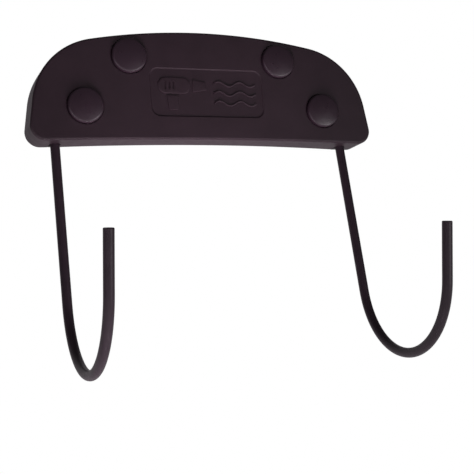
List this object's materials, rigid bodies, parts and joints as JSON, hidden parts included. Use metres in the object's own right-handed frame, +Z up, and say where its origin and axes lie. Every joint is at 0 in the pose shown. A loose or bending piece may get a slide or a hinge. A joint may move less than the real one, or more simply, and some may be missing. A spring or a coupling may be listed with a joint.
{
  "type": "hair dryer holder",
  "caption": "Wall-mounted holder for a hair dryer: a crescent-topped black cover with round screw caps and J-shaped rod hooks hanging below it.",
  "frame": {"origin": "on the wall face, on the centre line, midway between the two rows of wall screw holes", "axes": "+Z up, +Y into the wall, so the front faces -Y, and +X to the right as seen from the front"},
  "size_m": [0.187, 0.1005, 0.1753],
  "materials": {
    "cover_plastic": "fine moulded grain",
    "plate_plastic": "plain moulded",
    "cap_plastic": "satin",
    "rod_coating": "satin black coating",
    "screw_steel": "zinc plated"
  },
  "bodies": {
    "holder": {"cover": "cover_plastic", "back_plate": "plate_plastic", "hook_left": "rod_coating", "hook_right": "rod_coating", "screw_outer_left": "screw_steel", "screw_outer_right": "screw_steel", "screw_upper_left": "screw_steel", "screw_upper_right": "screw_steel", "screw_middle_left": "screw_steel", "screw_middle_right": "screw_steel"},
    "cap_lower_left": {"cap_lower_left": "cap_plastic"},
    "cap_lower_right": {"cap_lower_right": "cap_plastic"},
    "cap_upper_left": {"cap_upper_left": "cap_plastic"},
    "cap_upper_right": {"cap_upper_right": "cap_plastic"}
  },
  "joints": [
    {"name": "cap_lower_left_pull", "type": "slide", "parent": "holder", "child": "cap_lower_left", "axis": [0, -1, 0], "range_m": [0, 0.03]},
    {"name": "cap_lower_right_pull", "type": "slide", "parent": "holder", "child": "cap_lower_right", "axis": [0, -1, 0], "range_m": [0, 0.03]},
    {"name": "cap_upper_left_pull", "type": "slide", "parent": "holder", "child": "cap_upper_left", "axis": [0, -1, 0], "range_m": [0, 0.03]},
    {"name": "cap_upper_right_pull", "type": "slide", "parent": "holder", "child": "cap_upper_right", "axis": [0, -1, 0], "range_m": [0, 0.03]}
  ]
}
